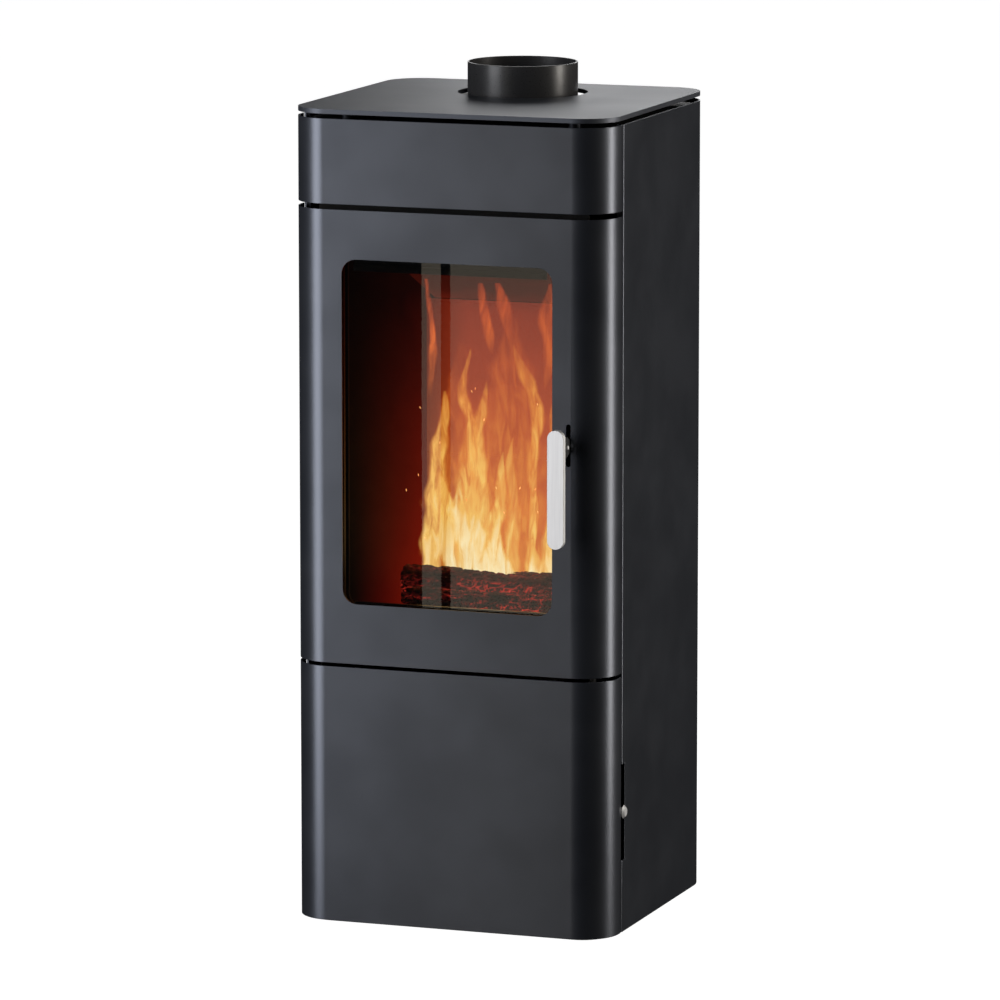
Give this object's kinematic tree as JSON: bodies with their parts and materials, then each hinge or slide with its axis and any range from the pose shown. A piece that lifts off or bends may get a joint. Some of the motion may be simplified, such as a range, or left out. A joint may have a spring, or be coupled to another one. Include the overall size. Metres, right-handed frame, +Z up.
{
  "type": "wood burning stove",
  "caption": "Free-standing wood burning stove: rounded steel column with a glazed fire door, wood compartment door, floating top plate and top flue collar.",
  "frame": {"origin": "centre of the underside of the base plate, on the floor", "axes": "+Z up, -Y is the front with the doors, +X to the right of someone facing the front"},
  "size_m": [0.4555, 0.462, 1.1445],
  "materials": {
    "casing_paint": "satin powder coat, blue-grey",
    "black_paint": "matt heat-resistant black",
    "bare_steel": "fine satin",
    "galvanised": "zinc coated sheet",
    "cast_iron": "as cast",
    "vermiculite": "pressed vermiculite board",
    "seal_rope": "woven glass fibre",
    "ceramic_glass": "clear glass ceramic",
    "charred_wood": "charred",
    "wood_ash": "powdery",
    "magnet_block": "moulded"
  },
  "bodies": {
    "root": {"base_plate": "black_paint", "levelling_bolt_1": "galvanised", "levelling_bolt_2": "galvanised", "levelling_bolt_3": "galvanised", "levelling_bolt_4": "galvanised", "side_panel_left": "casing_paint", "side_panel_right": "casing_paint", "back_panel": "galvanised", "air_intake_spigot": "galvanised", "fascia": "casing_paint", "top_deck": "black_paint", "top_plate": "casing_paint", "flue_collar": "black_paint", "chamber_wrap": "black_paint", "chamber_floor": "black_paint", "chamber_top": "black_paint", "chamber_front": "black_paint", "lining_left": "vermiculite", "lining_right": "vermiculite", "lining_back_lower": "vermiculite", "lining_back_upper": "vermiculite", "lining_floor": "vermiculite", "grate": "cast_iron", "baffle": "vermiculite", "bay_wrap": "black_paint", "ash_shelf": "black_paint", "ash_pan": "galvanised", "door_hinge_lug_1": "black_paint", "door_hinge_lug_2": "black_paint", "lower_hinge_lug_1": "black_paint", "lower_hinge_lug_2": "black_paint", "latch_striker": "bare_steel", "magnet_catch": "magnet_block", "air_valve": "black_paint", "ash_bed": "wood_ash", "log_front": "charred_wood", "log_rear": "charred_wood", "log_top": "charred_wood"},
    "fire_door": {"door_shell": "casing_paint", "glass_gasket": "seal_rope", "door_glass": "ceramic_glass", "door_frame": "black_paint", "door_rope_seal": "seal_rope", "glass_strip_top": "casing_paint", "glass_strip_bottom": "casing_paint", "door_hinge_arm_1": "black_paint", "door_hinge_arm_2": "black_paint", "latch_pin": "bare_steel"},
    "door_handle": {"latch_lever": "black_paint", "handle_bar": "bare_steel", "handle_rivet": "bare_steel"},
    "lower_door": {"lower_door_shell": "casing_paint", "lower_door_tray": "black_paint", "lower_hinge_arm_1": "black_paint", "lower_hinge_arm_2": "black_paint", "magnet_strike": "galvanised"},
    "air_control": {"air_knob": "bare_steel", "air_shutter": "black_paint"}
  },
  "joints": [
    {"name": "fire_door_hinge", "type": "hinge", "parent": "root", "child": "fire_door", "pos_m": [-0.2185, -0.165, 0.67125], "axis": [0, 0, -1], "range_deg": [0, 100]},
    {"name": "handle_lift", "type": "hinge", "parent": "fire_door", "child": "door_handle", "pos_m": [0.1713, -0.1969, 0.6695], "axis": [-1, 0, 0], "range_deg": [0, 25]},
    {"name": "lower_door_hinge", "type": "hinge", "parent": "root", "child": "lower_door", "pos_m": [-0.2185, -0.165, 0.1746], "axis": [0, 0, -1], "range_deg": [0, 100]},
    {"name": "air_slide", "type": "slide", "parent": "root", "child": "air_control", "axis": [0, 0, 1], "range_m": [-0.058, 0.058]}
  ]
}
